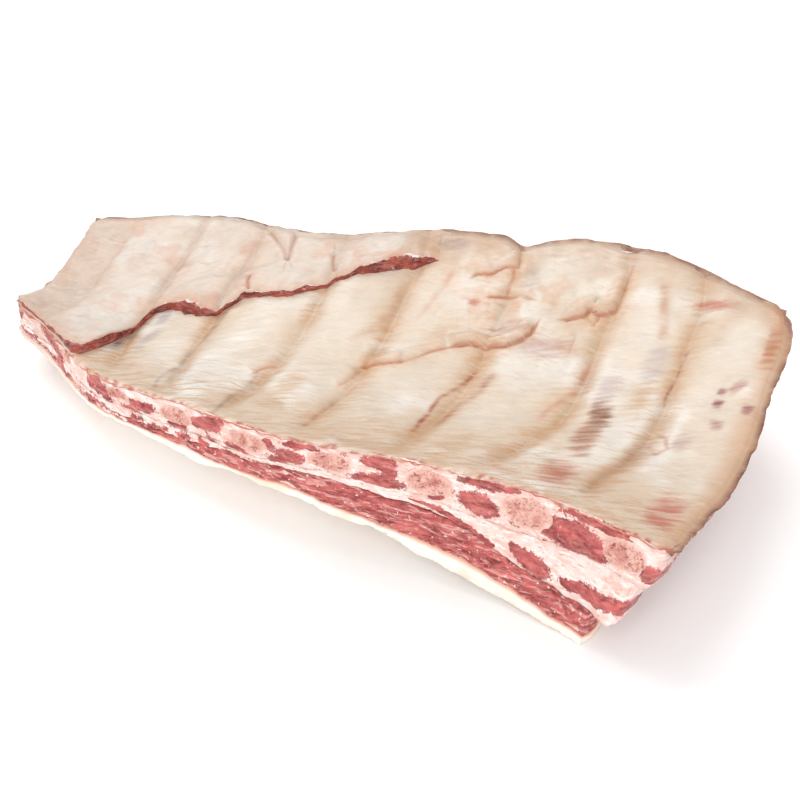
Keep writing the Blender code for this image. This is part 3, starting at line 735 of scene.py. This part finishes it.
def build_cut_layer(name, node, above, below, end_x, blobs, base_meat, fat, marble, lines, seeds, nt, top_rows=15):
    shell = Shell(end_x, 420, 150, nt, top_rows, 15)
    fx, v, t = shell.fx, shell.v, shell.t
    top = boundary(above, fx, v, seeds[0]) if above is not None else np.zeros(len(fx))
    low = boundary(below, fx, v, seeds[1]) if below is not None else curve(SLAB_DEPTH, plan(fx, v)[0])
    depth = top + (low - top) * t
    pts = slab_points(fx, v, depth, end_x)
    x = pts[:, 0]
    walls = wall_mask(shell, end_x)
    pts[:, 2] -= np.where((t <= 0) & ~walls, 0.0040, 0.0)
    pts[:, 2] += np.where((t >= 1) & ~walls, 0.0045, 0.0)
    if node == "rib_meat":
        hidden_rim = walls & ((v >= 1) | (fx >= end_x - 1e-9))
        pts[:, 2] -= 0.0018 * np.clip(1 - t / 0.15, 0, 1) * hidden_rim
    inside_bone = np.zeros(len(fx))
    if node == "rib_meat":
        for bx, half_w, half_h, bd in RIBS:
            r = np.hypot((fx - bx) / half_w, (depth - bd) / half_h)
            inside_bone = np.maximum(inside_bone, 1 - smooth(0.84, 0.99, r))
    groove = 0.0008 * (np.exp(-(t / 0.07) ** 2) + np.exp(-((1 - t) / 0.07) ** 2))
    field = base_meat(pts, fx, v, t, depth)
    if blobs:
        field = np.maximum(field, blob_field(blobs, x, depth, pts))
    field = field * (1 - inside_bone)
    out = 1.3 * wall_noise(pts) - groove + 0.0008 * field - 0.0022 * inside_bone - 0.0008 * (v >= 1)
    out_dir = np.zeros_like(pts)
    out_dir[:, 1] = np.where(v <= 0, -1.0, np.where(v >= 1, 1.0, 0.0))
    out_dir[:, 0] = np.where(fx <= FIRST_X + 1e-9, -1.0, np.where(fx >= end_x - 1e-9, 1.0, 0.0))
    pts = pts + out_dir * np.where(walls, out, 0.0)[:, None]
    colour = fat(pts, fx, v, t)
    obj = make_object(name, pts, shell.faces, colour,
                      {"meat": field, "marble": marble(pts, fx, t), "lines": np.full(len(fx), lines)}, CUT)
    finish_piece(obj, [node])


def plain(value):
    return lambda *a: np.full(len(a[0]), value)


def rib_fat(p, fx, v, t):
    """Pink fat between the ribs, with painted shade making the far end grey-brown, and greyish at the thin end."""
    # painted shade: the far right end of the layer, its end wall included, darkened grey-brown
    shaded_far_end = smooth(.228, .236, p[:, 0]) * (v > 0.004)
    c = np.tile(np.array([.94, .79, .745]), (len(p), 1))
    c = mix(c, (.97, .89, .86), smooth(-.2, .4, fbm(p, 60, 3, 71)))
    c = mix(c, (.82, .69, .63), 0.7 * (1 - smooth(-.22, -.17, p[:, 0])))
    return mix(c, (.50, .40, .36), 0.85 * shaded_far_end)


def seam_colour(p, fx, v, t):
    c = np.tile(np.array([.97, .87, .84]), (len(p), 1))
    return mix(c, (.92, .73, .68), 0.8 * smooth(.05, .4, fbm(p * np.array([1, 1, 3.5]), 55, 3, 72)))


def seam_meat(p, fx, v, t, depth):
    """The bright band that starts thin in the middle and widens to the right, and the edge next to the muscle."""
    band = np.full(len(p), -0.2)
    front = v <= 0
    centre = curve([(a, b) for a, b in RED_BAND], p[:, 0])
    half = np.interp(p[:, 0], [.072, .085, .124, .128], [.0003, .0016, .0040, .0005])
    inside = (p[:, 0] > .072) & (p[:, 0] < .128) & front
    band = np.where(inside, 1.5 - np.abs(depth - centre) / half, band)
    left = 1 - smooth(-.050, .010, p[:, 0])
    mixed = left * (0.55 + 0.75 * fbm(p, 90, 3, 88)) * (0.5 + 0.5 * smooth(0.1, 0.6, t))
    return np.clip(np.maximum(band, mixed), -0.2, 1)


def muscle_meat(p, fx, v, t, depth):
    left = smooth(-.150, -.080, p[:, 0])
    body = 1.0 - 0.45 * (1 - left) - 0.9 * smooth(.86, 1.0, t) * 0.6
    streak = fbm(p * np.array([1, 1, 3.0]), 60, 3, 81)
    body = body - 0.75 * smooth(.25, .65, streak) * (1 - smooth(-.01, .05, p[:, 0]) * 0.55)
    return np.clip(body, -0.2, 1.0)


def rib_base(p, fx, v, t, depth):
    """Between the fat seams the rib layer is ragged with meat."""
    ends = (fx <= FIRST_X + 1e-9) | (fx >= LAST_X - 1e-9)
    n = fbm(p, 75, 4, 83)
    return np.where(ends, 0.35 + 0.6 * n, 0.10 + 0.45 * n)


def build_fat_cap():
    shell = Shell(LOWER_END_X, 360, 160, 10, 20, 80)
    fx, v, t = shell.fx, shell.v, shell.t
    top = boundary(MUSCLE_DEPTH, fx, v, 93)
    x0 = plan(fx, v)[0]
    near = 1 - smooth(0.0, 0.12, v)
    across = np.column_stack([x0, np.zeros(len(x0)), np.zeros(len(x0))])
    low = curve(SLAB_DEPTH, x0) + near * (0.0016 * fbm(across, 40, 3, 97) - 0.0030 * np.exp(-((x0 + .066) / .006) ** 2)
                                          + 0.0022 * np.exp(-((x0 + .090) / .012) ** 2))
    depth = top + (low - top) * t
    pts = slab_points(fx, v, depth, LOWER_END_X)
    walls = wall_mask(shell, LOWER_END_X)
    out = wall_noise(pts) * 0.8 + 0.0016 * np.sin(math.pi * t) - 0.0018 * (t > 0.99)
    out_dir = np.zeros_like(pts)
    out_dir[:, 1] = np.where(v <= 0, -1.0, np.where(v >= 1, 1.0, 0.0))
    out_dir[:, 0] = np.where(fx <= FIRST_X + 1e-9, -1.0, np.where(fx >= LOWER_END_X - 1e-9, 1.0, 0.0))
    pts = pts + out_dir * np.where(walls, out, 0.0)[:, None]
    lump = 0.0016 * fbm(pts, 34, 3, 94)
    raised = smooth(0.0, 0.004, pts[:, 2])
    pts[:, 2] = np.maximum(pts[:, 2] + lump * (t > 0.5) * raised, 0.0)
    colour = np.tile(np.array([.97, .925, .880]), (len(pts), 1))
    colour = mix(colour, (.96, .86, .79), smooth(.0, .5, fbm(pts, 30, 3, 95)))
    colour = mix(colour, (.90, .58, .48), (1 - smooth(0.0, 0.22, t)) * walls * 0.8)
    colour = mix(colour, (.84, .73, .67), 0.75 * (1 - smooth(-.22, -.16, pts[:, 0])))
    obj = make_object("fat_cap_fat", pts, shell.faces, colour, {}, FAT)
    finish_piece(obj, ["fat_cap"])


def build_bones():
    """Each rib as an oval bar with rough sawn ends, a little proud of the meat round it."""
    around, rings = 56, 12
    rows = np.concatenate([[0.0], np.linspace(0.02, 0.98, 44), [1.0]])
    for k, (bx, half_w, half_h, bd) in enumerate(RIBS):
        fx, v, dep, mid, faces = [], [], [], [], []
        angle = np.linspace(0, 2 * math.pi, around, endpoint=False)
        lumpy = 1.02 + 0.05 * np.sin(2 * angle + k) + 0.04 * np.sin(3 * angle + 2 * k) + 0.02 * np.sin(7 * angle + k)

        def ring(at, r):
            start = sum(len(a) for a in fx)
            fx.append(bx + r * half_w * lumpy * np.cos(angle))
            dep.append(bd - r * half_h * lumpy * np.sin(angle))
            v.append(np.full(around, at))
            mid.append(np.full(around, r))
            return [start + i for i in range(around)]

        layers = [ring(0.0, r) for r in np.linspace(0.04, 1.0, rings)]
        layers += [ring(r, 1.0) for r in rows[1:-1]]
        layers += [ring(1.0, r) for r in np.linspace(1.0, 0.04, rings)]
        for a, b in zip(layers, layers[1:]):
            for i in range(around):
                j = (i + 1) % around
                faces.append((a[i], a[j], b[j], b[i]))
        faces.append(tuple(layers[0][::-1]))
        faces.append(tuple(layers[-1]))
        fx, v, dep, mid = (np.concatenate(a) for a in (fx, v, dep, mid))
        pts = slab_points(fx, v, dep)
        ends = (v <= 0) | (v >= 1)
        out = np.where(v <= 0, -1.0, np.where(v >= 1, 1.0, 0.0))
        rough = 0.0006 * fbm(pts, 300, 3, 101) + 1.3 * wall_noise(pts) - 0.0003
        pts[:, 1] += out * np.where(ends, rough - 0.0006 * smooth(.80, 1.0, mid), 0.0)
        colour = np.tile(np.array([.885, .70, .645]), (len(pts), 1))
        colour = mix(colour, (.80, .55, .50), (1 - smooth(0.3, 0.9, mid)) * smooth(-.3, .3, fbm(pts, 150, 2, 108)))
        colour = mix(colour, (.95, .82, .77), smooth(.74, .95, mid) * smooth(-.3, .2, fbm(pts, 130, 2, 107)))
        middle = (1 - smooth(0.70, 0.95, mid)) * ends
        blood = middle * smooth(-.30, .15, fbm(pts, 110, 2, 103 + k))
        obj = make_object(f"rib_bone_{k + 1}", pts, faces, colour, {"middle": middle, "blood": blood}, BONE)
        finish_piece(obj, [f"rib_{k + 1}"])


FLAP_EDGE = [(-.262, -.0300), (-.240, -.0420), (-.200, -.0620), (-.1905, -.0600), (-.1860, -.0450), (-.1825, -.0300),
             (-.1795, -.0080), (-.1740, .0010), (-.1620, .0055), (-.1400, .0055), (-.1330, .0120), (-.1270, .0190),
             (-.1170, .0235), (-.1030, .0268), (-.0920, .0320), (-.0800, .0405), (-.0710, .0485), (-.0580, .0575),
             (-.0470, .0640), (-.0360, .0735), (-.0230, .0810), (-.0120, .0870)]
FLAP_END = -0.0120
FLAP_FOLDS = [([(-.106, .072), (-.095, .064), (-.084, .053)], .0016, .0016, .0012, .5),
              ([(-.084, .053), (-.085, .061), (-.087, .073)], .0020, .0015, .0010, .8),
              ([(-.098, .024), (-.101, .029), (-.103, .036)], .0016, .0013, .0008, .8),
              ([(-.050, .053), (-.053, .057), (-.055, .062)], .0018, .0013, .0008, .9)]


def build_flap():
    """Sheet of skirt over the back left, torn along its front edge so that its red meat shows."""
    nu, nv, lip = 300, 110, 9
    xs = np.linspace(FIRST_X, FLAP_END, nu + 1)
    fx, v, s, lipt = [], [], [], []
    _, front = plan(xs, np.zeros(nu + 1))
    _, back = plan(xs, np.ones(nu + 1))
    edge = np.maximum(curve(FLAP_EDGE, xs), front + 0.0004)
    ragged = np.column_stack([xs, np.zeros(nu + 1), np.zeros(nu + 1)])
    edge = edge + 0.0012 * fbm(ragged, 160, 3, 111)
    open_wall = np.exp(-((xs + .156) / .014) ** 2) + np.exp(-((xs + .034) / .018) ** 2) + 1.1 * np.exp(-((xs + .192) / .014) ** 2)
    open_wall = np.clip(open_wall + 0.35 * noise(ragged, 70, 112) + 0.15 * noise(ragged, 210, 114), 0.05, 1.1)
    width = 0.0010 + 0.0048 * open_wall
    for j in range(lip + nv + 1):
        if j <= lip:
            a = j / lip
            y = edge - width * (1 - a)
        else:
            a = 1.0
            y = edge + (back - edge) * (j - lip) / nv
        fx.append(xs)
        v.append(np.clip((y - front) / (back - front), 0, 1))
        s.append((y - edge))
        lipt.append(np.full(nu + 1, a))
    rows = len(fx)
    fx, v, s, lipt = (np.concatenate(a) for a in (fx, v, s, lipt))
    p0 = slab_points(fx, v, np.zeros(len(fx)))
    ground = p0[:, 2] + skin_relief(fx, v, p0[:, :2])
    p = np.column_stack([p0[:, :2], np.zeros(len(fx))])
    thick = 0.0034 + 0.0038 * np.tile(open_wall, rows) * np.exp(-(np.maximum(s, 0) / 0.02) ** 2) + 0.0008 * fbm(p, 30, 2, 113)
    rise = np.where(lipt < 1, thick * np.sin(lipt * math.pi / 2) ** 0.8, thick)
    rise = rise - 0.0012 * np.exp(-(s / 0.003) ** 2) * (lipt >= 1)
    merged = smooth(0.0, 0.012 + 1.1 * np.maximum(s, 0), FLAP_END - fx)
    rise = rise * merged
    relief = 0.0022 * fbm(np.column_stack([p0[:, 0] * .8 + p0[:, 1] * .6, p0[:, 1] * .8 - p0[:, 0] * .6, 0 * fx]), (22, 42, 1), 3, 115)
    for points, depth, half, swell, _ in FLAP_FOLDS:
        dist, side, share = along(points, p0[:, :2])
        relief = relief - depth * np.exp(-(dist / half) ** 2) + swell * np.exp(-((dist - .005) / .005) ** 2) * (side > 0)
    relief = relief + 0.0005 * fbm(p, 110, 3, 118)
    back_rim = np.exp(-((1 - v) / 0.025) ** 2)
    left_rim = np.exp(-((fx - FIRST_X) / 0.003) ** 2)
    top = ground + rise + relief * lipt * merged - 0.0035 * back_rim - 0.002 * left_rim
    sink = 1 - smooth(0.0, 0.008, FLAP_END - fx)
    upper = np.column_stack([p0[:, :2], np.maximum(top, ground + 0.0004) - 0.0018 * sink])
    upper[:, 1] += 0.0008 * noise(upper, 200, 117) * (lipt < 1)
    lower = np.column_stack([p0[:, :2], ground - 0.0030])
    pts = np.vstack([upper, lower])
    n, faces = nu + 1, []
    shift = len(upper)
    wall_faces = 2 * nu * lip
    for j in range(rows - 1):
        for i in range(nu):
            a, b, c, d = j * n + i, j * n + i + 1, (j + 1) * n + i + 1, (j + 1) * n + i
            faces.append((a, b, c, d))
            faces.append((shift + a, shift + d, shift + c, shift + b))
    for i in range(nu):
        faces.append((i + 1, i, shift + i, shift + i + 1))
        top_row = (rows - 1) * n
        faces.append((top_row + i, top_row + i + 1, shift + top_row + i + 1, shift + top_row + i))
    for j in range(rows - 1):
        a, b = j * n, (j + 1) * n
        faces.append((a, b, shift + b, shift + a))
        faces.append((b + nu, a + nu, shift + a + nu, shift + b + nu))
    n1, n2 = fbm(p, 22, 3, 121), fbm(p, 60, 3, 122)
    colour = np.tile(np.array([.880, .795, .725]), (len(fx), 1))
    colour = mix(colour, (.900, .850, .800), smooth(-.1, .4, n1))
    colour = mix(colour, (.87, .69, .60), 0.55 * smooth(.05, .5, n2))
    colour = mix(colour, (.87, .68, .58), 0.5 * np.exp(-(s / 0.007) ** 2))
    colour = mix(colour, (.68, .58, .50), 0.5 * smooth(.94, 1.0, v))
    red = 1.1 - 1.3 * smooth(.45, 1.0, lipt) + 0.5 * fbm(upper, 170, 3, 126) * (lipt < 1)
    red = np.where(lipt < 1, red, np.where(s < 0.0025, 0.30 * np.tile(open_wall, rows), -0.2))
    colour = 0.905 * colour
    for points, _, half, _, rd in FLAP_FOLDS:
        dist, _, _ = along(points, p0[:, :2])
        colour = mix(colour, (.66, .38, .27), np.exp(-(dist / (.5 * half)) ** 2) * rd)
    phase = np.abs(valley_phase(fx, v))
    body = (lipt >= 1) * smooth(0, .012, s)
    # painted light on the flap's crests over the ribs and painted shade in the valleys between them
    colour = mix(colour, .905 * np.array([.905, .860, .815]), 0.45 * body * (1 - smooth(.25, .75, phase)))
    colour = mix(colour, .905 * np.array([.82, .71, .63]), 0.55 * body * smooth(.70, .97, phase))
    skin, _ = paint_skin(fx, v, p0[:, :2])
    blend = 1 - smooth(0.0, 0.040, FLAP_END - fx)
    colour = colour + (skin - colour) * (blend * (s > .004))[:, None]
    fibre = np.clip(.2 + .4 * n1, 0, 1) * (lipt >= 1)
    obj = make_object("skirt_flap_sheet", pts, faces, np.vstack([colour, colour]),
                      {"fibre": np.tile(fibre, 2), "meat": np.tile(red, 2), "marble": np.full(2 * len(fx), .25),
                       "lines": np.zeros(2 * len(fx))}, FLAP)
    obj.data.materials.append(DRY_CUT)
    slots = np.zeros(len(obj.data.polygons), int)
    slots[:wall_faces + 2 * nu] = 1
    obj.data.polygons.foreach_set("material_index", slots)
    finish_piece(obj, ["skirt_flap"])


build_lining()
build_cut_layer("rib_meat_layer", "rib_meat", LINING_SHOWN, RIB_LAYER_DEPTH, LAST_X, MEAT_BLOBS,
                rib_base, rib_fat, plain(0.25), 0.5, (61, 91), 22, 30)
build_cut_layer("seam_fat_layer", "seam_fat", RIB_LAYER_DEPTH, SEAM_DEPTH, SEAM_END_X, SEAM_BLOBS,
                seam_meat, seam_colour, plain(0.1), 0.8, (91, 92), 20)
build_cut_layer("plate_muscle_layer", "plate_muscle", SEAM_DEPTH, MUSCLE_DEPTH, LOWER_END_X, None,
                muscle_meat, rib_fat, plain(0.9), 0.2, (92, 93), 20)
build_fat_cap()
build_bones()
build_flap()


# ---------------------------------------------------------------- floor, light and camera
def plane(name, size, z):
    mesh = bpy.data.meshes.new(name)
    s = size
    mesh.from_pydata([(-s, -s, z), (s, -s, z), (s, s, z), (-s, s, z)], [], [(0, 1, 2, 3)])
    obj = bpy.data.objects.new(name, mesh)
    bpy.context.scene.collection.objects.link(obj)
    return obj


floor = plane("floor", 12.0, 0.0)
floor_mat = bpy.data.materials.new("floor")
floor_mat.use_nodes = True
floor_mat.node_tree.nodes["Principled BSDF"].inputs["Base Color"].default_value = (.96, .96, .96, 1)
floor_mat.node_tree.nodes["Principled BSDF"].inputs["Roughness"].default_value = 0.8
floor.data.materials.append(floor_mat)


def soft_sun(name, place, strength, spread):
    """Even light from the direction of a place, with soft shadows."""
    data = bpy.data.lights.new(name, "SUN")
    data.energy = strength
    data.angle = math.radians(spread)
    obj = bpy.data.objects.new(name, data)
    obj.rotation_euler = (-Vector(place)).to_track_quat("-Z", "Y").to_euler()
    bpy.context.scene.collection.objects.link(obj)


soft_sun("key", (-0.65, 0.45, 1.15), 1.25, 45)
soft_sun("fill", (0.30, -1.00, 0.65), 1.35, 60)
world = bpy.data.worlds.new("studio")
world.use_nodes = True
world.node_tree.nodes["Background"].inputs["Color"].default_value = (1, 1, 1, 1)
world.node_tree.nodes["Background"].inputs["Strength"].default_value = 0.80
bpy.context.scene.world = world
bpy.context.scene.view_settings.view_transform = "Standard"

AZIMUTH, ELEVATION, DISTANCE, LENS = math.radians(24.0), math.radians(40.0), 1.32, 94.5
target = Vector((-MIDDLE[0], -MIDDLE[1], 0.03))
back = Vector((math.sin(AZIMUTH) * math.cos(ELEVATION), -math.cos(AZIMUTH) * math.cos(ELEVATION),
               math.sin(ELEVATION)))
camera_data = bpy.data.cameras.new("camera")
camera_data.lens = LENS
camera_data.sensor_width = 36.0
camera = bpy.data.objects.new("camera", camera_data)
camera.location = target + back * DISTANCE
camera.rotation_euler = (-back).to_track_quat("-Z", "Y").to_euler()
bpy.context.scene.collection.objects.link(camera)
bpy.context.scene.camera = camera
